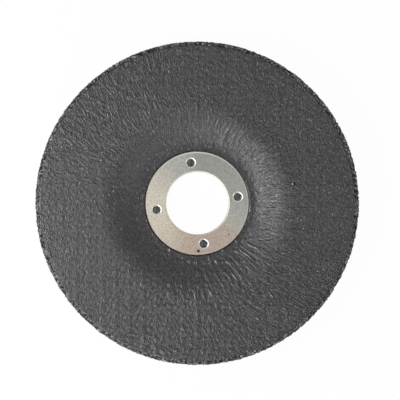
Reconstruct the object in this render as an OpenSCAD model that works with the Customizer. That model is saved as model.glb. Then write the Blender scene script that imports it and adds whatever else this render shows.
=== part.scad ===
// Cut-off wheel with a depressed centre, for an angle grinder.
// A thin disc of resin-bonded abrasive is moulded and cured round a stamped steel centre ring.
// The ring's wide flange lies in the recess, its tube lines the bore, and its far end is rolled
// out into a lip at the back. Four barbs, pierced down out of the flange, bite into the abrasive.
// Origin: on the bore's axis, in the plane of the hub's back face, which the wheel lies on.
// +Z runs along the bore towards the working face.

/* [Wheel] */
// Outer diameter of the wheel
wheel_d = 115; // [100:1:150]
// Thickness of the moulding, measured square to its face
wheel_t = 3; // [2.6:0.1:4]
// Width of the bare, broken edge round the rim, front and back
rim_edge_w = 1.3; // [0.6:0.1:1.6]
// Height of the broken edge round the rim, front and back
rim_edge_h = 0.45; // [0.2:0.05:0.8]

/* [Recess] */
// Depth of the recess, from the working face to its floor
recess_depth = 4.6; // [4.2:0.1:6]
// Width of the recess's flat floor outside the ring's flange
floor_margin = 0.7; // [0.3:0.1:4]
// Slope of the recess's wall
wall_angle = 26; // [22:1:30]
// Radius where the floor turns up into the wall
foot_r = 10; // [6:0.5:11]
// Radius where the wall turns out into the working face
brow_r = 17.5; // [12:0.5:18]

/* [Centre ring] */
// Bore of the ring, which the grinder's spindle flange centres
bore_d = 22.23; // [20:0.01:23]
// Outer diameter of the ring's flange
flange_d = 37; // [35:0.5:38]
// Thickness of the ring's sheet steel
sheet_t = 0.45; // [0.3:0.05:0.6]
// How far the flange stands above the recess's floor
flange_proud = 0.15; // [0.05:0.05:0.25]
// Inside radius of the bend between flange and tube
bend_r = 0.45; // [0.2:0.05:0.6]
// Rounding of the flange's outer edge
flange_edge_r = 0.15; // [0.05:0.05:0.25]
// Width of the lip rolled out at the back, outwards from the tube
lip_w = 1.4; // [1:0.1:2.4]
// Inside radius of the roll between tube and lip
lip_bend_r = 0.15; // [0.1:0.05:0.3]
// How far the lip lies below the hub's back face
lip_sink = 0.1; // [0.05:0.05:0.3]

/* [Barbs] */
// Number of barbs
barb_count = 4; // [3:1:6]
// How far the circle of the barbs lies outside the middle of the flange
barb_offset = -0.15; // [-0.3:0.05:0.5]
// Diameter of each pierced hole
barb_hole_d = 2.8; // [2:0.1:3.2]
// Wall of a barb, where the sheet is drawn thin
barb_wall = 0.3; // [0.2:0.05:0.4]
// Length of a barb below the flange
barb_length = 1.1; // [0.6:0.1:1.4]
// Depth of the torn notches in a barb's end
barb_notch = 0.6; // [0.2:0.1:0.8]
// Turn of the barbs about the bore
barb_turn = 9; // [0:1:45]
// Height of the abrasive that fills each pierced hole, below the flange's face
plug_sink = 0.3; // [0.2:0.05:0.4]

/* [Folds] */
// Number of folds in the black face sheet, round the recess
fold_count = 60; // [12:1:80]
// Height of a fold above the face
fold_height = 0.12; // [0.06:0.01:0.2]
// Width of the widest folds
fold_width = 0.75; // [0.4:0.05:1]
// Length of the longest folds, seen from above
fold_length = 13; // [6:0.5:15]
// Sweep of a fold round the wheel over its length
fold_sweep = 5; // [0:1:10]

/* [Rim chips] */
// Number of chips broken out of the rim's front edge, and as many at the back
chip_count = 80; // [20:1:110]
// Deepest chip, inwards from the rim
chip_depth = 1.1; // [0.4:0.1:1.4]

/* [Fits] */
// Gap round the ring's flange and lip
seat_gap = 0.15; // [0.05:0.05:0.3]
// Gap round the ring's tube and barbs
tube_gap = 0.1; // [0.05:0.05:0.15]

/* [Hidden] */
$fn = 96;
arc_steps = 6;
overcut = 0.4;

rim_r = wheel_d / 2;
floor_r = flange_d / 2 + floor_margin;
face_z = wheel_t + recess_depth;

// The face runs outwards from the edge of the floor: up the foot, the wall and the brow, then level.
foot_len = foot_r * wall_angle * PI / 180;
brow_len = brow_r * wall_angle * PI / 180;
wall_rise = recess_depth - (foot_r + brow_r) * (1 - cos(wall_angle));
wall_len = wall_rise / sin(wall_angle);
brow_start = foot_len + wall_len;
brow_end = brow_start + brow_len;
brow_end_r = floor_r + (foot_r + brow_r) * sin(wall_angle) + wall_len * cos(wall_angle);
fold_end_r = brow_end_r + fold_length / 4;

// The ring, from its flange down to its lip.
bore_r = bore_d / 2;
tube_r = bore_r + sheet_t;
flange_top = wheel_t + flange_proud;
flange_z = flange_top - sheet_t;
lip_top = lip_sink + sheet_t;
lip_r = tube_r + lip_w;

// The seat that the ring is moulded into.
seat_r = flange_d / 2 + seat_gap;
lip_seat_r = lip_r + seat_gap;
hub_bore_r = tube_r + tube_gap;
front_chamfer = bend_r + tube_gap;
back_chamfer = lip_bend_r + tube_gap;
barb_circle_r = (bore_r + flange_d / 2) / 2 + barb_offset;
barb_hole_r = barb_hole_d / 2;
barb_r = barb_hole_r + barb_wall;

// Points on an arc, from one angle to another.
function arc(centre, radius, from, to) =
    [for (i = [0 : arc_steps])
        let (a = from + (to - from) * i / arc_steps)
        centre + radius * [cos(a), sin(a)]];

// A list back to front.
function reversed(list) = [for (i = [len(list) - 1 : -1 : 0]) list[i]];

// Point in the wheel's section at a distance along the face, lifted square off it.
function face_point(along, lift) =
    along < 0 ? [floor_r + along, wheel_t + lift] :
    along < foot_len ? foot_point(along / foot_len * wall_angle, lift) :
    along < brow_start ? foot_point(wall_angle, lift)
        + (along - foot_len) * [cos(wall_angle), sin(wall_angle)] :
    along < brow_end ? brow_point((brow_end - along) / brow_len * wall_angle, lift) :
    brow_point(0, lift) + [along - brow_end, 0];
function foot_point(slope, lift) =
    [floor_r, wheel_t + foot_r] + (foot_r - lift) * [sin(slope), -cos(slope)];
function brow_point(slope, lift) =
    [brow_end_r, face_z - brow_r] + (brow_r + lift) * [-sin(slope), cos(slope)];

// The whole curved stretch of the face, or of any skin a set distance off it.
function skin(lift) = concat(
    [for (i = [0 : arc_steps]) face_point(foot_len * i / arc_steps, lift)],
    [for (i = [0 : arc_steps]) face_point(brow_start + brow_len * i / arc_steps, lift)]);

// Half the section of a layer under the face, raised above it by a lift.
module face_band(lift)
    polygon(concat(
        [[floor_r - 1, wheel_t - 1], [floor_r - 1, wheel_t + lift]],
        skin(lift),
        [[fold_end_r + 1, face_z + lift], [fold_end_r + 1, face_z - 1]],
        reversed(skin(-1))));

// Half the wheel's section, with the seat for the ring cut into its hub.
module disc_section()
    polygon(concat(
        [[seat_r, wheel_t]],
        skin(0),
        [[rim_r - rim_edge_w, face_z],
         [rim_r, face_z - rim_edge_h],
         [rim_r, recess_depth + rim_edge_h],
         [rim_r - rim_edge_w, recess_depth]],
        reversed(skin(-wheel_t)),
        [[lip_seat_r, 0],
         [lip_seat_r, lip_top],
         [hub_bore_r + back_chamfer, lip_top],
         [hub_bore_r, lip_top + back_chamfer],
         [hub_bore_r, flange_z - front_chamfer],
         [hub_bore_r + front_chamfer, flange_z],
         [seat_r, flange_z]]));

// Half the ring's section: flange, bend, tube, roll and lip, all one thickness of sheet.
module ring_section() {
    bend_c = [tube_r + bend_r, flange_z - bend_r];
    roll_c = [tube_r + lip_bend_r, lip_top + lip_bend_r];
    edge_c = [flange_d / 2 - flange_edge_r, flange_top - flange_edge_r];
    polygon(concat(
        arc(bend_c, bend_r + sheet_t, 180, 90),
        arc(edge_c, flange_edge_r, 90, 0),
        [[flange_d / 2, flange_z]],
        arc(bend_c, bend_r, 90, 180),
        arc(roll_c, lip_bend_r, 180, 270),
        [[lip_r, lip_top], [lip_r, lip_sink]],
        arc(roll_c, lip_bend_r + sheet_t, 270, 180)));
}

// Its children, once at each barb, with Z = 0 at the underside of the flange.
module at_barbs()
    for (i = [0 : barb_count - 1])
        rotate([0, 0, barb_turn + i * 360 / barb_count])
            translate([barb_circle_r, 0, flange_z])
                children();

// The mouth of a pierced hole: the sheet is drawn down over the punch in a round edge.
module barb_mouth()
    rotate_extrude()
        polygon(concat(
            [[0, 0], [barb_hole_r, 0]],
            arc([barb_hole_r + sheet_t, 0], sheet_t, 180, 90),
            [[barb_hole_r + sheet_t, sheet_t + overcut], [0, sheet_t + overcut]]));

// Two crossed wedges tear a barb's end into four points.
module barb_tear()
    for (turn = [45, 135])
        rotate([90, 0, turn])
            linear_extrude(height = 3 * barb_r, center = true)
                polygon([[-barb_hole_r, -barb_length - overcut],
                         [barb_hole_r, -barb_length - overcut],
                         [0, barb_notch - barb_length]]);

// One fold seen from above: a bent sliver that starts and ends in a point.
module fold_plan(start_r, length, width, sweep) {
    mid_r = start_r + length / 2;
    mid_a = sweep * 0.35;
    half_a = width / mid_r * 90 / PI;
    polygon([start_r * [1, 0],
             mid_r * [cos(mid_a - half_a), sin(mid_a - half_a)],
             (start_r + length) * [cos(sweep), sin(sweep)],
             mid_r * [cos(mid_a + half_a), sin(mid_a + half_a)]]);
}

// The face sheet is pressed from flat into the recess, so its spare width gathers in folds.
module folds_plan() {
    jitter = rands(-0.2, 0.2, fold_count, 11);
    starts = rands(0, 1, fold_count, 12);
    lengths = rands(0.5, 1, fold_count, 13);
    widths = rands(0.6, 1, fold_count, 14);
    sweeps = rands(-1, 1, fold_count, 15);
    for (i = [0 : fold_count - 1]) {
        length = fold_length * lengths[i];
        start_r = floor_r + starts[i] * (fold_end_r - floor_r - length);
        rotate(360 / fold_count * (i + jitter[i]))
            fold_plan(start_r, length, fold_width * widths[i], fold_sweep * sweeps[i]);
    }
}

// The folds stand on the face, all one height: what their plan cuts from a lifted face.
module folds()
    intersection() {
        rotate_extrude() face_band(fold_height);
        linear_extrude(height = face_z + 1) folds_plan();
    }

// Grains that broke out of one edge of the rim, measured from that edge's corner.
module chips(seed) {
    jitter = rands(-0.3, 0.3, chip_count, seed);
    inwards = rands(0.45, 1, chip_count, seed + 1);
    downwards = rands(0.5, 1, chip_count, seed + 2);
    widths = rands(0.3, 0.75, chip_count, seed + 3);
    for (i = [0 : chip_count - 1])
        rotate([0, 0, (i + jitter[i]) * 360 / chip_count])
            rotate_extrude(angle = widths[i] * 360 / chip_count)
                polygon([[rim_r - chip_depth * inwards[i], overcut],
                         [rim_r + overcut, overcut],
                         [rim_r + overcut, -rim_edge_h - chip_depth * downwards[i] / 2],
                         [rim_r - chip_depth * inwards[i] * 0.6, -rim_edge_h * downwards[i]]]);
}

// The moulded wheel: abrasive, its glass cloth and its face sheet, pressed and cured as one.
module abrasive_disc()
    color("#545253")
    difference() {
        union() {
            difference() {
                union() {
                    rotate_extrude() disc_section();
                    folds();
                }
                at_barbs()
                    translate([0, 0, -barb_length - tube_gap])
                        cylinder(r = barb_r + tube_gap, h = barb_length + tube_gap + overcut);
            }
            at_barbs() {
                plug_r = barb_hole_r - tube_gap;
                plug_top = sheet_t - plug_sink;
                translate([0, 0, -barb_length - tube_gap - overcut])
                    cylinder(r = plug_r, h = barb_length + tube_gap + overcut);
                cylinder(r1 = plug_r, r2 = plug_r / 2, h = plug_top);
            }
        }
        translate([0, 0, face_z]) chips(21);
        translate([0, 0, recess_depth]) mirror([0, 0, 1]) chips(31);
    }

// The stamped ring: flange, tube and lip in one sheet, pierced by its barbs.
module centre_ring()
    color("#b2ada2")
    difference() {
        union() {
            rotate_extrude() ring_section();
            at_barbs()
                translate([0, 0, -barb_length])
                    cylinder(r = barb_r, h = barb_length + sheet_t / 2);
        }
        at_barbs() {
            translate([0, 0, -barb_length - overcut])
                cylinder(r = barb_hole_r, h = barb_length + 2 * overcut);
            barb_mouth();
            barb_tear();
        }
    }

abrasive_disc();
centre_ring();
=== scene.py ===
import bpy
import numpy as np
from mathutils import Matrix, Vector


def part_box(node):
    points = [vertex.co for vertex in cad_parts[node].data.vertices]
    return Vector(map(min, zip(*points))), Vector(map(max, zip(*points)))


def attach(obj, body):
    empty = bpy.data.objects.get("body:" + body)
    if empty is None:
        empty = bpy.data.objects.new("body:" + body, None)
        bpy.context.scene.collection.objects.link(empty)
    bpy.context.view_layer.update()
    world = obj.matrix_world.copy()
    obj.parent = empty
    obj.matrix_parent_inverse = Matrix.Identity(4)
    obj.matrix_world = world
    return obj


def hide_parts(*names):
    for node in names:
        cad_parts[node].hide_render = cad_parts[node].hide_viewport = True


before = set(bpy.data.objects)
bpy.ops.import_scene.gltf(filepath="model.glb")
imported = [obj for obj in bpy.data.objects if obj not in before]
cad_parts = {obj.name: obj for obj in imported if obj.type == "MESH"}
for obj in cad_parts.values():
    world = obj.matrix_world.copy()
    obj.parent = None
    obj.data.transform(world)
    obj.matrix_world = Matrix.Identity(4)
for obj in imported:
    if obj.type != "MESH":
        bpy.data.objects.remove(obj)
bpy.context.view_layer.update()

# --- Moulded core -------------------------------------------------------------------------
# The body of the wheel: brown and grey abrasive grain bound with dark resin and pressed hot
# into a dished disc. It is bare only round the rim, where the press leaves it broken and gritty.
MM = 0.001
RIM_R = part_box("abrasive_disc")[1].x
FLANGE_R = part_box("centre_ring")[1].x
FLANGE_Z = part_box("centre_ring")[1].z
FLANGE_PROUD = 0.15 * MM
FLOOR_MARGIN = 0.7 * MM
BORE_R = 22.23 / 2 * MM
STEEL_T = 0.45 * MM
LIP_W = 1.4 * MM
LIP_SINK = 0.1 * MM
SEAT_GAP = 0.15 * MM
TUBE_GAP = 0.1 * MM
RECESS = 4.6 * MM
WALL_SLOPE = np.radians(26)
FOOT_R = 10.0 * MM
BROW_R = 17.5 * MM
SKIN_T = 0.14 * MM
BARE_W = 1.35 * MM
EDGE_DROP = 0.15 * MM
EDGE_SINK = 0.02 * MM
SIDE_SINK = 0.12 * MM
RISE_W = 1.8 * MM

WHEEL_T = FLANGE_Z - FLANGE_PROUD
FACE_Z = WHEEL_T + RECESS
FLOOR_R = FLANGE_R + FLOOR_MARGIN
TUBE_R = BORE_R + STEEL_T
SEAT_R = FLANGE_R + SEAT_GAP
SEAT_Z = FLANGE_Z - STEEL_T
LIP_SEAT_R = TUBE_R + LIP_W + SEAT_GAP
LIP_SEAT_Z = LIP_SINK + STEEL_T
BARE_R = RIM_R - BARE_W

# Lengths along the wheel's section, from the edge of its floor to the edge of its sheets.
FOOT_LEN = FOOT_R * WALL_SLOPE
BROW_LEN = BROW_R * WALL_SLOPE
WALL_LEN = (RECESS - (FOOT_R + BROW_R) * (1 - np.cos(WALL_SLOPE))) / np.sin(WALL_SLOPE)
CURVED_LEN = FOOT_LEN + WALL_LEN + BROW_LEN
BROW_END_R = FLOOR_R + (FOOT_R + BROW_R) * np.sin(WALL_SLOPE) + WALL_LEN * np.cos(WALL_SLOPE)
SHEET_LEN = CURVED_LEN + BARE_R - BROW_END_R


def face_line(along, lift):
    """Radius and height of the wheel's face at a distance along its section, moved square off
    it by a lift. The slope climbs evenly round the foot, holds on the wall, and falls evenly
    round the brow; radius and height are its running sums of cosine and sine."""
    foot = np.clip(along, 0, FOOT_LEN)
    wall = np.clip(along - FOOT_LEN, 0, WALL_LEN)
    brow = np.clip(along - FOOT_LEN - WALL_LEN, 0, BROW_LEN)
    flat = np.minimum(along, 0) + np.maximum(along - CURVED_LEN, 0)
    slope = foot / FOOT_R - brow / BROW_R
    r = (FLOOR_R + flat + FOOT_R * np.sin(foot / FOOT_R) + wall * np.cos(WALL_SLOPE)
         + BROW_R * (np.sin(WALL_SLOPE) - np.sin(WALL_SLOPE - brow / BROW_R)))
    z = (WHEEL_T + FOOT_R * (1 - np.cos(foot / FOOT_R)) + wall * np.sin(WALL_SLOPE)
         + BROW_R * (np.cos(WALL_SLOPE - brow / BROW_R) - np.cos(WALL_SLOPE)))
    return r - lift * np.sin(slope), z + lift * np.cos(slope)


def turns(columns):
    """Equal angles once round the axis, as a row."""
    return np.linspace(0, 2 * np.pi, columns, endpoint=False)[None, :]


def soft_noise(rng, shape, passes):
    """Random heights from 0 to 1 on a grid that closes on itself: white noise, each pass
    averaged with its neighbours, then stretched back to the full range by rank."""
    h = rng.random(shape)
    for _ in range(passes):
        h = (2 * h + np.roll(h, 1, 0) + np.roll(h, -1, 0)) / 4
        h = (2 * h + np.roll(h, 1, 1) + np.roll(h, -1, 1)) / 4
    return h.ravel().argsort().argsort().reshape(shape) / (h.size - 1)


def new_piece(name, points, faces):
    """A smooth-shaded mesh object at the origin."""
    mesh = bpy.data.meshes.new(name)
    mesh.from_pydata(points, [], faces)
    mesh.shade_smooth()
    piece = bpy.data.objects.new(name, mesh)
    bpy.context.scene.collection.objects.link(piece)
    return piece


def closed_shell(name, r, z, theta):
    """Closed section carried once round the axis. r and z are grids of points, rows along the
    section and columns round the axis; the last row joins the first, the last column the
    first, and each face is the square between four neighbours."""
    rows, cols = r.shape
    co = np.stack([r * np.cos(theta), r * np.sin(theta), z], axis=-1)
    i, j = np.meshgrid(np.arange(rows), np.arange(cols), indexing="ij")
    up, on = (i + 1) % rows, (j + 1) % cols
    quads = np.stack([i * cols + j, up * cols + j, up * cols + on, i * cols + on], axis=-1)
    return new_piece(name, co.reshape(-1, 3), quads.reshape(-1, 4))


def give(piece, name, kind, values):
    """Stores a number or a vector for each point of a piece, for its material to read."""
    data = piece.data.attributes.new(name, kind, "POINT").data
    data.foreach_set("vector" if kind == "FLOAT_VECTOR" else "value", np.ravel(values))


# The section runs outwards under the front sheet, over the bare band, down the rim, back under
# the wheel, and round the seat of the ring. Near its edge it rises to the level of the sheets.
CORE_COLS = 1800
CURVE_ROWS = 12
BAND_ROWS = 8
SIDE_ROWS = 7
covered = np.concatenate([
    [SEAT_R - FLOOR_R], np.linspace(0, CURVED_LEN, CURVE_ROWS), [SHEET_LEN - RISE_W]])
under_r, under_z = face_line(covered, -SKIN_T)
back_r, back_z = face_line(np.append(covered[:0:-1], LIP_SEAT_R - FLOOR_R), SKIN_T - WHEEL_T)
band = np.linspace(0, 1, BAND_ROWS)
side = np.linspace(0, 1, SIDE_ROWS + 2)[1:-1]
core_r = np.concatenate([
    under_r, BARE_R + band * BARE_W, np.full(SIDE_ROWS, RIM_R - SIDE_SINK),
    RIM_R - band * BARE_W, back_r, [LIP_SEAT_R, TUBE_R + TUBE_GAP, TUBE_R + TUBE_GAP, SEAT_R]])
core_z = np.concatenate([
    under_z, FACE_Z - EDGE_SINK - band ** 5 * EDGE_DROP,
    FACE_Z - EDGE_DROP - side * (WHEEL_T - 2 * EDGE_DROP),
    RECESS + EDGE_SINK + (1 - band) ** 5 * EDGE_DROP, back_z,
    [LIP_SEAT_Z, LIP_SEAT_Z, SEAT_Z, SEAT_Z]])

# Round the bare band the press tears grains out: pits about 0.5 mm wide, where the noise is in
# its top third, and grit between them. They dig into the side, and less into the faces.
GRIT_DEPTH = 0.12 * MM
PIT_DEPTH = 0.25 * MM
PIT_LEVEL = 0.62
PIT_STEEPNESS = 8
FACE_SHARE = 0.4
rows = np.arange(len(core_r))[:, None]
band_start = len(under_r)
side_start = band_start + BAND_ROWS
back_start = side_start + SIDE_ROWS
bare = (rows >= band_start) & (rows < back_start + BAND_ROWS)
faces_up = np.where(rows < side_start, 1.0, np.where(rows < back_start, 0.0, -1.0))
rng = np.random.default_rng(5)
grit = soft_noise(rng, (len(core_r), CORE_COLS), 1)
hollows = soft_noise(rng, (len(core_r), CORE_COLS), 2)
pit = np.clip((hollows - PIT_LEVEL) * PIT_STEEPNESS, 0, 1) * bare
outward = np.clip((core_r - BARE_R) / BARE_W, 0, 1)[:, None]
dig = bare * (GRIT_DEPTH * grit + PIT_DEPTH * pit)
core = closed_shell("abrasive_core", core_r[:, None] - dig * outward,
                    core_z[:, None] - dig * faces_up * FACE_SHARE, turns(CORE_COLS))
core.data.set_sharp_from_angle(angle=np.radians(35))
give(core, "pit_resin_and_shade", "FLOAT", pit)


def colour(text):
    """Linear RGBA of an sRGB hex colour: each channel over 255, then the sRGB curve undone."""
    c = np.array([int(text[k:k + 2], 16) for k in (1, 3, 5)]) / 255
    c = np.where(c <= 0.04045, c / 12.92, ((c + 0.055) / 1.055) ** 2.4)
    return (*c.tolist(), 1.0)


def add(tree, kind, inputs=(), **settings):
    """Adds a node with its settings. Its inputs, in order or by key, are values or what feeds
    them: a socket, or a node, which feeds from its first output."""
    n = tree.nodes.new("ShaderNode" + kind)
    for key, value in settings.items():
        setattr(n, key, value)
    for key, value in inputs.items() if isinstance(inputs, dict) else enumerate(inputs):
        if isinstance(value, bpy.types.Node):
            value = value.outputs[0]
        if isinstance(value, bpy.types.NodeSocket):
            tree.links.new(value, n.inputs[key])
        else:
            n.inputs[key].default_value = value
    return n


def new_material(name):
    """A material with an empty tree of nodes; returns both."""
    m = bpy.data.materials.new(name)
    m.use_nodes = True
    m.node_tree.nodes.clear()
    return m, m.node_tree


def place_in_mm(tree):
    """The place on the piece in millimetres, so that a pattern's scale is one over its size."""
    spot = add(tree, "TexCoord").outputs["Object"]
    return add(tree, "VectorMath", (spot, (1000, 1000, 1000)), operation="MULTIPLY")


def stops(ramp_node, *pairs):
    """Sets a colour ramp's stops from pairs of place and sRGB hex colour; returns the ramp."""
    ramp = ramp_node.color_ramp
    while len(ramp.elements) < len(pairs):
        ramp.elements.new(0.5)
    for e, (spot, text) in zip(ramp.elements, pairs):
        e.position = spot
        e.color = colour(text)
    return ramp_node


# Bare abrasive: grains of fused alumina that broke or tore out of black resin. Crushed grain
# scatters the light, so it is grey to tan and dull. The pits are near black: partly the bared
# resin, partly painted shade.
# A colour Mix takes its share, A and B as inputs 0, 6 and 7 and gives the colour as output 2.
GRAIN_W = 0.476
grit_mat, t = new_material("broken_abrasive_grain")
grains = add(t, "TexVoronoi", {"Vector": place_in_mm(t), "Scale": 1 / GRAIN_W}, feature="F1")
grain_id = add(t, "SeparateColor", (grains.outputs["Color"],))
grain_colour = stops(
    add(t, "ValToRGB", (grain_id,)),
    (0.0, "#232222"), (0.3, "#3a3838"), (0.6, "#5d5a59"), (0.85, "#787572"),
    (0.96, "#8e8b87"), (0.99, "#aaa49b"))
# The pits are painted near black: partly bared resin, partly painted shade in the pits.
pit_resin_and_shade = add(t, "Attribute", attribute_name="pit_resin_and_shade").outputs["Fac"]
grit_colour = add(t, "Mix", {0: pit_resin_and_shade, 6: grain_colour, 7: colour("#070707")}, data_type="RGBA")
grain_bump = add(t, "Bump", {
    "Height": grains.outputs["Distance"], "Strength": 1.0, "Distance": 0.12 * MM}, invert=True)
grit_shader = add(t, "BsdfPrincipled", {
    "Base Color": grit_colour.outputs[2], "Roughness": 0.9, "IOR": 1.5, "Normal": grain_bump})
add(t, "OutputMaterial", (grit_shader,))
core.data.materials.append(grit_mat)
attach(core, "root")
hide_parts("abrasive_disc")

# --- Face sheets --------------------------------------------------------------------------
# A black tissue on each face, soaked in the wheel's own resin and cured onto it. Pressed from
# flat into the dish it gathers in fine folds, and the glass cloth under it shows through.
FACE_COLS = 900
FACE_ROWS = 90
BACK_COLS = 720
BACK_ROWS = 80
UNDER_ROWS = 18
EDGE_WANDER = 0.5 * MM
EDGE_WANDER_W = 0.8 * MM
UNDULATION = 0.03 * MM
BLOWHOLE_X = 33.95 * MM
BLOWHOLE_Y = 6.85 * MM
BLOWHOLE_R = 0.5 * MM
BLOWHOLE_DEPTH = 0.35 * MM
SWIRL = 0.35
FOLD_ZONES = (
    # Degrees from and to, how many, where the nearest and the farthest start, the longest, the
    # highest, half the width, the side that is steep, and the lean over the length in radians.
    (255, 322, 96, 20.0, 36.0, 15.0, 0.155, 0.26, -1, 0.07),
    (262, 312, 34, 18.9, 23.0, 14.0, 0.12, 0.23, -1, 0.07),
    (322, 352, 20, 23.0, 36.0, 11.0, 0.10, 0.27, -1, 0.05),
    (255, 335, 70, 32.0, 50.0, 5.0, 0.14, 0.24, -1, 0.03),
    (12, 72, 74, 21.5, 29.5, 6.5, 0.20, 0.24, 1, -0.05),
    (40, 78, 30, 21.5, 27.0, 7.0, 0.17, 0.21, 1, -0.03),
    (66, 110, 34, 24.0, 36.0, 9.0, 0.13, 0.28, 1, -0.03),
    (110, 160, 56, 29.0, 42.0, 10.0, 0.21, 0.25, 1, -0.02),
    (108, 172, 80, 30.0, 51.0, 5.0, 0.16, 0.24, 1, -0.02),
    (-15, 22, 22, 22.0, 30.0, 8.0, 0.08, 0.25, -1, 0.0),
    (160, 255, 40, 27.0, 38.0, 7.0, 0.06, 0.28, 1, 0.0),
)


def fold_relief(rng, r, theta):
    """Height of the folds over the plane of the face. Each is a ridge about a line that runs
    outwards and leans round the wheel. Across the line its height falls off as a bell, 0.6 as
    wide on the steep side and 1.4 on the other; along it, it goes as the sine of the way from
    end to end, to the power 1.5."""
    height = np.zeros(np.broadcast_shapes(r.shape, theta.shape))
    for low, high, count, near, far, longest, tall, wide, steep, zone_lean in FOLD_ZONES:
        for _ in range(count):
            angle = np.radians(rng.uniform(low, high))
            start = rng.uniform(near, far) * MM
            length = rng.uniform(0.4, 1.0) * longest * MM
            lean = zone_lean + rng.uniform(-0.06, 0.06)
            bend = rng.uniform(-0.05, 0.05)
            half = wide * rng.uniform(0.7, 1.3) * MM
            top = tall * rng.uniform(0.4, 1.0) * MM
            way = np.clip((r - start) / length, 0, 1)
            line = angle + lean * way + bend * way * (1 - way)
            across = (theta - line + np.pi) % (2 * np.pi) - np.pi
            width = half * np.where(across * steep > 0, 0.6, 1.4)
            height += top * np.sin(np.pi * way) ** 1.5 * np.exp(-(across * r / width) ** 2)
    return height


def climb(x, low, high):
    """None up to the low value, one from the high one on, and straight between them."""
    return np.clip((x - low) / (high - low), 0, 1)


def bell(x, centre, width, power=4):
    """One at the centre and none far from it: exp of minus the distance over the width, to an
    even power."""
    return np.exp(-((x - centre) / width) ** power)


def sector(theta, centre, width):
    """A bell round the wheel, its centre and width in degrees."""
    return bell((np.degrees(theta) - centre + 180) % 360 - 180, 0, width)


def mark_finish(piece, r, theta):
    """Stores how a sheet's finish changes over it, each a product of sectors and of bells or
    climbs along the radius in millimetres. The fan holds each point's direction from the axis
    and its radius; the direction turns with the radius, so that creases drawn along it lean as
    the folds do."""
    out = r / MM
    swirl = SWIRL * (0.6 - 1.6 * sector(theta, 300, 45))
    turned = theta + swirl * (r - FLOOR_R) / RIM_R
    give(piece, "fan", "FLOAT_VECTOR", np.stack([np.cos(turned), np.sin(turned), out], axis=-1))
    on_wall = bell(out, 28, 9)

    # Where the tissue gathers in creases finer than the folds. They begin nearer the ring on
    # the right than on the left. At the upper right they stay on the wall, and at the lower
    # right and the upper left they go on over the flat.
    begins = 26 - 4 * np.cos(theta - np.radians(350))
    give(piece, "gathered", "FLOAT", climb(out, begins, begins + 6) * np.maximum.reduce([
        sector(theta, 286, 51) + 0 * r, sector(theta, 130, 38) + 0 * r,
        sector(theta, 35, 50) * on_wall]))

    # Where valleys with painted shade show between the cloth's threads: the right side, past the
    # foot.
    give(piece, "cloth_shows", "FLOAT",
         sector(theta, 352, 36) * (0.45 + 0.55 * on_wall) * climb(out, 23, 26))

    # Where the tissue is darkened with painted shade and its resin skin is duller: the foot of the
    # wall at the upper right, and the flat at the lower right. Below nought the skin is glossier,
    # on the brow at the upper right.
    foot = sector(theta, 28, 50) * bell(out, 24, 2.6, 2)
    outer = sector(theta, 312, 32) * climb(out, 33, 36)
    brow = sector(theta, 22, 44) * bell(out, 30, 2.4, 2)
    give(piece, "dull_and_shaded", "FLOAT", np.maximum(0.6 * foot, 0.5 * outer) - brow)

    # How much of the fibres' relief the press left: less by the ring and on the wall at the
    # lower right.
    give(piece, "pressed", "FLOAT",
         np.maximum(climb(out, 18.5, 22.5), 0.45) * (1 - 0.4 * sector(theta, 290, 46) * on_wall))

    # How far the cloth's threads stand out through the tissue: most at the bottom.
    give(piece, "threads_show", "FLOAT", 0.75 + 1.1 * sector(theta, 268, 42) + 0 * r)


def sheet_shell(name, along, lift_out, lift_in, relief, edge, columns):
    """Closed shell of a face sheet: rows along the outer side with the relief on it, then
    back along a coarser inner side. The edge moves the sheet's outermost rows in and out."""
    theta = turns(columns)
    inner = np.linspace(along[-1], along[0], UNDER_ROWS)
    r_out, z_out = face_line(along[:, None] + 0 * theta, lift_out + relief)
    r_in, z_in = face_line(inner[:, None] + 0 * theta, lift_in + 0 * theta)
    r, z = np.concatenate([r_out, r_in]), np.concatenate([z_out, z_in])
    near_edge = climb(r, BARE_R - EDGE_WANDER_W, BARE_R)
    piece = closed_shell(name, r + near_edge * edge, z, theta)
    mark_finish(piece, r, theta)
    return piece


theta = turns(FACE_COLS)
along = np.linspace(SEAT_R - FLOOR_R, SHEET_LEN, FACE_ROWS)
face_r = face_line(along, 0.0)[0][:, None]
rng = np.random.default_rng(8)
edge = (soft_noise(rng, (1, FACE_COLS), 1) - 0.6) * EDGE_WANDER
undulation = (soft_noise(rng, (FACE_ROWS, FACE_COLS), 3) - 0.5) * UNDULATION
from_blowhole = np.hypot(face_r * np.cos(theta) - BLOWHOLE_X, face_r * np.sin(theta) - BLOWHOLE_Y)
blowhole = -BLOWHOLE_DEPTH * bell(from_blowhole, 0, BLOWHOLE_R)
front = sheet_shell("face_sheet", along, 0.0, -SKIN_T,
                    fold_relief(rng, face_r, theta) + undulation + blowhole, edge, FACE_COLS)
edge = (soft_noise(rng, (1, BACK_COLS), 1) - 0.6) * EDGE_WANDER
back = sheet_shell("back_sheet", np.linspace(SHEET_LEN, LIP_SEAT_R - FLOOR_R, BACK_ROWS),
                   -WHEEL_T, SKIN_T - WHEEL_T, 0.0, edge, BACK_COLS)

# Resin-soaked tissue: near black fibre in glossy resin, which glints on every crest, under a
# thin skin of the same resin that lies smoother and shines less. Its sizes are in millimetres.
tissue_mat, t = new_material("resin_soaked_black_tissue")
place = place_in_mm(t)

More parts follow.
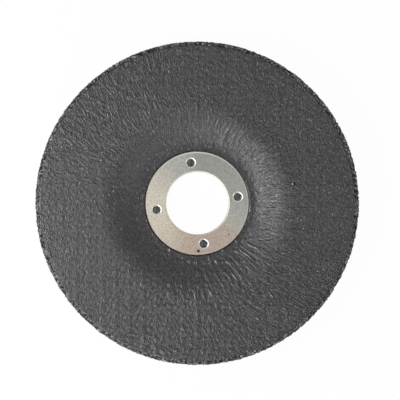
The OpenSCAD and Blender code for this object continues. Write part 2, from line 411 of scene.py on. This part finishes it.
# Two layers of glass cloth telegraph through it. The upper one has threads 2.4 by 1.96 mm
# apart, with every second one proud, and the lower one 2.16 by 1.69 mm, turned by 28 degrees.
# Neither lies quite straight. The origin is where two proud threads of the upper one cross.
WARP_GAP = 2.4
WEFT_GAP = 1.96
PROUD_WARP_GAP = 4.8
PROUD_WEFT_GAP = 3.93
LOWER_WARP = {"gap": 2.164, "heading": 61.7}
LOWER_WEFT = {"gap": 1.694, "heading": -26.6}
WANDER = 1.6
WANDER_L = 2.857
CLOTH_ORIGIN = (0.8, 3.54, 0)
wander = add(t, "TexNoise", {"Vector": place, "Scale": 1 / WANDER_L, "Detail": 3.0})
laid = add(t, "VectorMath", (wander.outputs["Color"], (WANDER, WANDER, 0), place),
           operation="MULTIPLY_ADD")
laid = add(t, "VectorMath", (laid, CLOTH_ORIGIN), operation="SUBTRACT")


def ripple(tree, cloth, gap, heading):
    """Cosine wave over the cloth's plane, from the gap between crests and the heading in
    degrees in which they follow each other."""
    per_mm = 2 * np.pi / gap
    way = (per_mm * np.cos(np.radians(heading)), per_mm * np.sin(np.radians(heading)), 0)
    phase = add(tree, "VectorMath", (cloth, way), operation="DOT_PRODUCT").outputs["Value"]
    return add(tree, "Math", (phase,), operation="COSINE")


warp = ripple(t, laid, WARP_GAP, 0)
weft = ripple(t, laid, PROUD_WEFT_GAP, 90)
crossings = add(t, "Math", (warp, weft), operation="MULTIPLY")
weave = 0.0
for wave, rise in (
        (crossings, 0.030), (warp, 0.022), (weft, 0.026),
        (ripple(t, laid, PROUD_WARP_GAP, 0), 0.028), (ripple(t, laid, WEFT_GAP, 90), 0.020),
        (ripple(t, laid, **LOWER_WARP), 0.022), (ripple(t, laid, **LOWER_WEFT), 0.016)):
    weave = add(t, "Math", (wave, rise, weave), operation="MULTIPLY_ADD")

# Each crest of the weft is a pair of threads. On the right the tissue sinks between the two
# to a narrow valley, bridged over in places.
VALLEY_NARROWNESS = 22.0
BRIDGE_L, BRIDGE_W = 6.25, 2.22
valley = add(t, "Math", (weft, 0.5, 0.5), operation="MULTIPLY_ADD")
valley = add(t, "Math", (valley, VALLEY_NARROWNESS), operation="POWER")
bridge_place = add(t, "VectorMath", (place, (1 / BRIDGE_L, 1 / BRIDGE_W, 0)), operation="MULTIPLY")
bridges = add(t, "TexNoise", {"Vector": bridge_place, "Scale": 1.0})
not_bridged = add(t, "MapRange", (bridges, 0.38, 0.5))
cloth_shows = add(t, "Attribute", attribute_name="cloth_shows").outputs["Fac"]
not_bridged = add(t, "Math", (not_bridged, cloth_shows), operation="MULTIPLY")
valley = add(t, "Math", (valley, not_bridged), operation="MULTIPLY")

# Creases between the folds, 27 to the radian, so about 1 mm apart at the wall, and 4.5 mm long.
# Their crests are where the noise passes its middle.
CREASES_TO_RADIAN = 27
CREASE_L = 4.545
CREST_NARROWNESS = 14.0
fan = add(t, "Attribute", attribute_name="fan").outputs["Vector"]
gathered = add(t, "Attribute", attribute_name="gathered").outputs["Fac"]
crease_place = add(t, "VectorMath", (
    fan, (CREASES_TO_RADIAN, CREASES_TO_RADIAN, 1 / CREASE_L)), operation="MULTIPLY")
creases = add(t, "TexNoise", {
    "Vector": crease_place, "Scale": 1.0, "Detail": 2.0, "Distortion": 0.6})
crest = add(t, "Math", (creases, 2.0, -1.0), operation="MULTIPLY_ADD")
crest = add(t, "Math", (crest,), operation="ABSOLUTE")
crest = add(t, "Math", (1.0, crest), operation="SUBTRACT")
crest = add(t, "Math", (crest, CREST_NARROWNESS), operation="POWER")
crest = add(t, "Math", (crest, 0.34), operation="MULTIPLY")
folded = add(t, "Math", (creases, 0.16, crest), operation="MULTIPLY_ADD")

# The fibres clot into strokes about 0.6 mm wide and 1 mm long, which all lie one way, and
# resin stands on some of them in beads.
STROKE_W, STROKE_L = 0.5882, 1.0526
strokes = add(t, "Mapping", {
    "Vector": place, "Rotation": (0, 0, np.radians(15)),
    "Scale": (1 / STROKE_W, 1 / STROKE_L, 1.0)})
mottle = add(t, "TexNoise", {
    "Vector": strokes, "Scale": 1.0, "Detail": 3.0, "Roughness": 0.7, "Distortion": 0.3})
beads = add(t, "TexVoronoi", {"Vector": strokes, "Scale": 0.75}, feature="F1",
            voronoi_dimensions="2D")
bead_id = add(t, "SeparateColor", (beads.outputs["Color"],))
bead = add(t, "MapRange", (beads.outputs["Distance"], 0.45, 0.0),
           interpolation_type="SMOOTHSTEP")
bead = add(t, "Math", (bead, bead_id), operation="MULTIPLY")
bead = add(t, "Math", (bead, bead_id), operation="MULTIPLY")
bead = add(t, "Math", (bead, 0.26), operation="MULTIPLY")
fibres = add(t, "Math", (mottle, 0.32, bead), operation="MULTIPLY_ADD")

# The relief in millimetres: fibres where the press left them, folds, threads and valleys.
pressed = add(t, "Attribute", attribute_name="pressed").outputs["Fac"]
threads_show = add(t, "Attribute", attribute_name="threads_show").outputs["Fac"]
height = add(t, "Math", (fibres, pressed), operation="MULTIPLY")
height = add(t, "Math", (folded, gathered, height), operation="MULTIPLY_ADD")
height = add(t, "Math", (weave, threads_show, height), operation="MULTIPLY_ADD")
height = add(t, "Math", (valley, -0.18, height), operation="MULTIPLY_ADD")
tissue_bump = add(t, "Bump", {"Height": height, "Strength": 1.0, "Distance": MM})
skin_bump = add(t, "Bump", {"Height": height, "Strength": 1.0, "Distance": 0.25 * MM})

# The tone: flecks of fibre from black to dark grey, then painted shade in the valleys, in a hollow
# beside the blowhole, as a shadow along the ring's seam and on the foot of the wall at the upper
# right and the flat at the lower right, and last a few pale specks of grain dust.
flecks = add(t, "TexNoise", {"Vector": strokes, "Scale": 1.4, "Detail": 2.0, "Roughness": 0.7})
fleck_colour = stops(add(t, "ValToRGB", (flecks,)), (0.36, "#201f1f"), (0.66, "#494647"))
# Painted shade: the bottoms of the valleys are darkened.
valley_shade = add(t, "Math", (valley, 0.9), operation="MULTIPLY")
# Painted shade: a black spot without shine beside the blowhole, for the shade inside the hollow.
hollow_shade_place = (BLOWHOLE_X / MM + 0.5, BLOWHOLE_Y / MM + 0.1, FACE_Z / MM - 0.1)
hollow_shade = add(t, "VectorMath", (place, hollow_shade_place), operation="DISTANCE").outputs["Value"]
hollow_shade = add(t, "Math", (hollow_shade, 0.45), operation="LESS_THAN")
out = add(t, "SeparateXYZ", (fan,)).outputs["Z"]
# Painted shadow: the tissue goes near black along the ring's edge, where the seat's gap is shaded.
seam_shadow = add(t, "MapRange", (out, SEAT_R / MM + 0.1, SEAT_R / MM + 0.65, 0.85, 0.0))
dull_and_shaded = add(t, "Attribute", attribute_name="dull_and_shaded").outputs["Fac"]
# Painted shade: the tissue darkens on the patches marked dull.
soaked = add(t, "Math", (dull_and_shaded, 0.5), operation="MULTIPLY")
specks = add(t, "TexVoronoi", {"Vector": strokes, "Scale": 0.5}, feature="F1",
             voronoi_dimensions="2D")
speck_id = add(t, "SeparateColor", (specks.outputs["Color"],))
few = add(t, "Math", (speck_id, 13.0), operation="POWER")
speck = add(t, "Math", (specks.outputs["Distance"], 0.13), operation="LESS_THAN")
speck = add(t, "Math", (speck, few), operation="MULTIPLY")
shade = fleck_colour.outputs["Color"]
for share, text in ((valley_shade, "#141313"), (hollow_shade, "#020202"), (seam_shadow, "#050505"),
                    (soaked, "#141313"), (speck, "#94928d")):
    shade = add(t, "Mix", {0: share, 6: shade, 7: colour(text)}, data_type="RGBA").outputs[2]

skin = add(t, "Math", (dull_and_shaded, -0.25, 0.55), operation="MULTIPLY_ADD")
tissue_shader = add(t, "BsdfPrincipled", {
    "Base Color": shade, "Roughness": 0.2, "IOR": 1.5, "Normal": tissue_bump,
    "Specular IOR Level": add(t, "Math", (hollow_shade, -0.5, 0.5), operation="MULTIPLY_ADD"),
    "Coat Weight": add(t, "Math", (skin, hollow_shade), operation="SUBTRACT"),
    "Coat Roughness": 0.3, "Coat IOR": 1.5, "Coat Normal": skin_bump})
add(t, "OutputMaterial", (tissue_shader,))
for piece in (front, back):
    piece.data.materials.append(tissue_mat)
    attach(piece, "root")
    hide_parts("abrasive_disc")

# --- Abrasive in the pierced holes --------------------------------------------------------
# Where the barbs were punched down, the abrasive wells up inside each hole and stops just
# under the flange's face. Two drops of its resin dried on the flange, and one grain shows
# through the blowhole in the face sheet.
BARB_CIRCLE_R = (BORE_R + FLANGE_R) / 2 - 0.15 * MM
BARB_HOLE_R = 1.4 * MM
BARB_TURN = np.radians(9)
PLUG_GAP = 0.03 * MM
PLUG_SINK = 0.3 * MM
DROP_SINK = 0.02 * MM
DROPS = (
    # x, y, radius, height and roughness, in millimetres
    (0.42, -17.05, 0.5, 0.06, 0.03),
    (11.2, -11.2, 0.26, 0.05, 0.02),
)
SPOKES = 36
RINGS = 9


def round_lump(rng, name, x, y, radius, top, fall, bottom, rough):
    """A round lump with a flat bottom: its height falls from the top with the fourth power of
    the distance from its centre, and a random roughness fades out towards its edge."""
    turn = turns(SPOKES)
    out = np.linspace(0, 1, RINGS)[1:, None]
    grain = (soft_noise(rng, (RINGS - 1, SPOKES), 1) - 0.5) * rough
    reach = np.concatenate([out, out[-1:]]) * radius
    heights = np.concatenate([
        top - fall * out ** 4 + grain * (1 - out), np.full((1, SPOKES), bottom)])
    co = np.stack([x + reach * np.cos(turn), y + reach * np.sin(turn), heights], axis=-1)
    co = np.concatenate([[[x, y, top]], co.reshape(-1, 3), [[x, y, bottom]]])
    i, j = np.meshgrid(np.arange(RINGS - 1), np.arange(SPOKES), indexing="ij")
    near, far = 1 + i * SPOKES, 1 + (i + 1) * SPOKES
    on = (j + 1) % SPOKES
    quads = np.stack([near + j, far + j, far + on, near + on], axis=-1).reshape(-1, 4).tolist()
    k = np.arange(SPOKES)
    rim = 1 + (RINGS - 1) * SPOKES
    tips = np.stack([0 * k, 1 + k, 1 + (k + 1) % SPOKES], axis=-1).tolist()
    bottoms = np.stack([0 * k + len(co) - 1, rim + (k + 1) % SPOKES, rim + k], axis=-1).tolist()
    return new_piece(name, co, quads + tips + bottoms)


# Cured resin over fine grain, about 0.45 mm: black, half matt, slightly rough.
CRUST_W = 0.4545
resin_mat, t = new_material("cured_black_resin")
crust = add(t, "TexNoise", {"Vector": place_in_mm(t), "Scale": 1 / CRUST_W, "Detail": 3.0})
crust_colour = stops(add(t, "ValToRGB", (crust,)), (0.35, "#1f1f1f"), (0.7, "#5a5958"))
crust_bump = add(t, "Bump", {"Height": crust, "Strength": 1.0, "Distance": 0.2 * MM})
resin_shader = add(t, "BsdfPrincipled", {
    "Base Color": crust_colour, "Roughness": 0.5, "IOR": 1.5, "Normal": crust_bump})
add(t, "OutputMaterial", (resin_shader,))

# The same resin without grain, run thick and dried on the flange: black, half gloss.
drop_mat, t = new_material("dried_resin_drop")
drop_shader = add(t, "BsdfPrincipled", {
    "Base Color": colour("#0b0b0b"), "Roughness": 0.5, "IOR": 1.5})
add(t, "OutputMaterial", (drop_shader,))

# Fused alumina: a pale grain, broken to dull faces.
alumina_mat, t = new_material("pale_alumina_grain")
alumina_shader = add(t, "BsdfPrincipled", {
    "Base Color": colour("#b3a898"), "Roughness": 0.6, "IOR": 1.76})
add(t, "OutputMaterial", (alumina_shader,))

lumps = []
for number in range(4):
    angle = BARB_TURN + number * np.pi / 2
    lumps.append((resin_mat, round_lump(
        rng, f"plug_{number + 1}", BARB_CIRCLE_R * np.cos(angle), BARB_CIRCLE_R * np.sin(angle),
        BARB_HOLE_R - PLUG_GAP, FLANGE_Z - PLUG_SINK, 0.5 * MM, 1.6 * MM, 0.12 * MM)))
for number, (x, y, radius, tall, rough) in enumerate(DROPS):
    lumps.append((drop_mat, round_lump(
        rng, f"resin_drop_{number + 1}", x * MM, y * MM, radius * MM, FLANGE_Z + tall * MM,
        tall * MM, FLANGE_Z - DROP_SINK, rough * MM)))
lumps.append((alumina_mat, round_lump(
    rng, "stray_grain", BLOWHOLE_X - 0.15 * MM, BLOWHOLE_Y, 0.33 * MM, FACE_Z - 0.1 * MM,
    0.12 * MM, FACE_Z - 0.4 * MM, 0.1 * MM)))
for material, piece in lumps:
    piece.data.materials.append(material)
    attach(piece, "root")

# --- Centre ring --------------------------------------------------------------------------
# Thin steel strip, rolled with a straight grain, plated, then stamped to a flange and a tube.
# Its passivation film is uneven, so it drifts from grey-green to cream and pink round the ring,
# and it is painted paler and brighter on the left, as painted light from the lamps' side.
# The punches burnished the metal bright where it turns down round the holes.
ROLL_LINES_TO_MM = 6.0
ROLL_L = 4.0
SPANGLE_W = 0.667
steel_mat, t = new_material("plated_rolled_steel")
place = place_in_mm(t)
xyz = add(t, "SeparateXYZ", (place,)).outputs
angle = add(t, "Math", (xyz["Y"], xyz["X"]), operation="ARCTAN2")
turn = add(t, "Math", (angle, 1 / (2 * np.pi), 1.0), operation="MULTIPLY_ADD")
turn = add(t, "Math", (turn,), operation="FRACT")
level = add(t, "VectorMath", (place, (1, 1, 0)), operation="MULTIPLY")
radius = add(t, "VectorMath", (level,), operation="LENGTH").outputs["Value"]

# The film's tint round the ring, from the right and over the top, with painted light that makes
# the left side paler; streaks along the rolled grain; and the plating's crystals as a mottle.
film_tint_and_light = stops(
    add(t, "ValToRGB", (turn,)),
    (0.0, "#cdcec7"), (0.17, "#c2c3bb"), (0.25, "#bfc0ba"), (0.30, "#d2d3cc"), (0.345, "#d6d6cf"),
    (0.38, "#e6e0d4"), (0.48, "#fbf3e0"), (0.59, "#faefdb"), (0.67, "#eadecd"), (0.71, "#e3cebe"),
    (0.76, "#dfc9bb"), (0.895, "#dfd0c1"), (0.905, "#dcd9cd"), (1.0, "#cdcec7"))
roll_place = add(t, "VectorMath", (
    place, (1 / ROLL_L, ROLL_LINES_TO_MM, ROLL_LINES_TO_MM)), operation="MULTIPLY")
roll_lines = add(t, "TexNoise", {"Vector": roll_place, "Scale": 1.0, "Detail": 2.0})
streak = add(t, "MapRange", (roll_lines, 0.3, 0.7, 0.92, 1.04))
crystals = add(t, "TexNoise", {
    "Vector": place, "Scale": 1 / SPANGLE_W, "Detail": 3.0, "Roughness": 0.7})
spangle = add(t, "MapRange", (crystals, 0.3, 0.7, 0.8, 1.2))
plating = add(t, "VectorMath", (film_tint_and_light, streak), operation="MULTIPLY")
plating = add(t, "VectorMath", (plating, spangle), operation="MULTIPLY")

# Burnished round the holes: the ring is folded to one quarter with its hole on the x axis, and
# the mouth ends one sheet's thickness outside the hole.
quarter = add(t, "Math", (turn, 4.0, 0.5 - 4 * BARB_TURN / (2 * np.pi)), operation="MULTIPLY_ADD")
quarter = add(t, "Math", (quarter,), operation="FRACT")
quarter = add(t, "Math", (quarter, 0.5), operation="SUBTRACT")
quarter = add(t, "Math", (quarter, np.pi / 2), operation="MULTIPLY")
folded_x = add(t, "Math", (quarter,), operation="COSINE")
folded_y = add(t, "Math", (quarter,), operation="SINE")
folded_place = add(t, "CombineXYZ", (folded_x, folded_y, 0.0))
folded_place = add(t, "VectorMath", (folded_place, radius), operation="MULTIPLY")
from_hole = add(t, "VectorMath", (
    folded_place, (BARB_CIRCLE_R / MM, 0, 0)), operation="DISTANCE").outputs["Value"]
mouth = (BARB_HOLE_R + STEEL_T) / MM
burnish = add(t, "MapRange", (from_hole, mouth - 0.05, mouth + 0.15, 1.0, 0.0))

# A painted highlight along the flange's brim, brightest at the top and faint on the left. The
# outermost edge is darker and rougher all round. The tube's throat is paler and duller than
# the flange.
brim_highlight = stops(
    add(t, "ValToRGB", (turn,)), (0.0, "#7a7a7a"), (0.12, "#a0a0a0"), (0.25, "#ffffff"),
    (0.38, "#8a8a8a"), (0.5, "#303030"), (0.65, "#404040"), (0.78, "#848484"), (1.0, "#7a7a7a"))
brim = add(t, "MapRange", (radius, FLANGE_R / MM - 0.75, FLANGE_R / MM - 0.55))
brim = add(t, "Math", (brim, brim_highlight), operation="MULTIPLY")
blanked = add(t, "MapRange", (radius, FLANGE_R / MM - 0.2, FLANGE_R / MM - 0.14))
cut_edge = add(t, "Math", (blanked, 0.8), operation="MULTIPLY")
throat = add(t, "MapRange", (radius, TUBE_R / MM - 0.115, TUBE_R / MM + 0.035, 1.0, 0.0))
in_throat = add(t, "Math", (throat, 0.5), operation="MULTIPLY")
for share, text in ((burnish, "#fffdf6"), (brim, "#fffdf6"), (cut_edge, "#3b3a38"),
                    (in_throat, "#e4e2da")):
    plating = add(t, "Mix", {0: share, 6: plating, 7: colour(text)}, data_type="RGBA").outputs[2]

# The bend between flange and tube was ironed nearly flat, so its shading is held level there.
# A vector Mix takes its share, A and B as inputs 0, 4 and 5 and gives output 1.
steel_bump = add(t, "Bump", {"Height": roll_lines, "Strength": 0.4, "Distance": 0.01 * MM})
bend = add(t, "MapRange", (radius, TUBE_R / MM + 0.385, TUBE_R / MM + 0.535, 1.0, 0.0))
bend = add(t, "Math", (bend, throat), operation="SUBTRACT")
bend = add(t, "Math", (bend, 0.85), operation="MULTIPLY")
ironed = add(t, "Mix", {0: bend, 4: steel_bump, 5: (0, 0, 1)}, data_type="VECTOR").outputs[1]
finish = add(t, "Math", (blanked, 0.3, 0.4), operation="MULTIPLY_ADD")
finish = add(t, "Math", (throat, 0.35, finish), operation="MULTIPLY_ADD")
steel_shader = add(t, "BsdfPrincipled", {
    "Base Color": plating, "Metallic": 1.0, "Roughness": finish, "Normal": ironed})
add(t, "OutputMaterial", (steel_shader,))
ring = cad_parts["centre_ring"]
ring.data.materials.clear()
ring.data.materials.append(steel_mat)

# --- Studio -------------------------------------------------------------------------------
# A white sweep under the wheel, two soft lamps low on the left, a weak one on the right and a
# camera straight above. The floor is seen nearly white, and keeps the wheel's shadow.
SWEEP_HALF = 1.5
SWEEP_Z = -0.0002
floor_mesh = bpy.data.meshes.new("studio_floor")
floor_mesh.from_pydata(
    [(x * SWEEP_HALF, y * SWEEP_HALF, SWEEP_Z) for x, y in ((-1, -1), (1, -1), (1, 1), (-1, 1))],
    [], [(0, 1, 2, 3)])
floor = bpy.data.objects.new("studio_floor", floor_mesh)
bpy.context.scene.collection.objects.link(floor)
paper_mat, t = new_material("white_paper")
rays = add(t, "LightPath").outputs
seen = add(t, "Math", (rays["Is Camera Ray"], rays["Is Glossy Ray"]), operation="MAXIMUM")
seen = add(t, "Math", (seen, rays["Is Transmission Ray"]), operation="MAXIMUM")
seen = add(t, "Math", (seen, 0.97), operation="MULTIPLY")
paper = add(t, "BsdfDiffuse", {"Color": colour("#e8e8e8")})
glow = add(t, "Emission", {"Color": (1, 1, 1, 1), "Strength": 1.0})
add(t, "OutputMaterial", (add(t, "MixShader", (seen, paper, glow)),))
floor.data.materials.append(paper_mat)

world = bpy.data.worlds.new("studio_light")
bpy.context.scene.world = world
world.use_nodes = True
world.node_tree.nodes.clear()
sky = add(world.node_tree, "Background", {"Color": (1, 1, 1, 1), "Strength": 0.45})
add(world.node_tree, "OutputWorld", (sky,))


LAMP_SIZE = 0.12


def soft_lamp(name, place, power):
    """A square area lamp that faces the wheel's centre."""
    lamp = bpy.data.lights.new(name, "AREA")
    lamp.size = LAMP_SIZE
    lamp.energy = power
    holder = bpy.data.objects.new(name, lamp)
    holder.location = place
    holder.rotation_euler = (-Vector(place)).to_track_quat("-Z", "Y").to_euler()
    bpy.context.scene.collection.objects.link(holder)


soft_lamp("key_lamp", (-0.212, -0.022, 0.166), 0.56)
soft_lamp("low_lamp", (-0.193, -0.335, 0.104), 1.03)
soft_lamp("fill_lamp", (0.312, -0.146, 0.161), 0.2)

# The picture is 400 pixels wide at this scale, with the wheel a little left of and below its
# middle, by these numbers of pixels.
PIXEL = 0.3548 * MM
PICTURE_PX = 400
OFF_LEFT_PX = 2.8
OFF_DOWN_PX = 3.25
CAMERA_UP = 0.8
lens = bpy.data.cameras.new("camera")
lens.sensor_width = 36.0
lens.lens = lens.sensor_width * (CAMERA_UP - FACE_Z) / (PICTURE_PX * PIXEL)
camera = bpy.data.objects.new("camera", lens)
camera.location = (OFF_LEFT_PX * PIXEL, OFF_DOWN_PX * PIXEL, CAMERA_UP)
bpy.context.scene.collection.objects.link(camera)
bpy.context.scene.camera = camera
bpy.context.scene.view_settings.view_transform = "Standard"
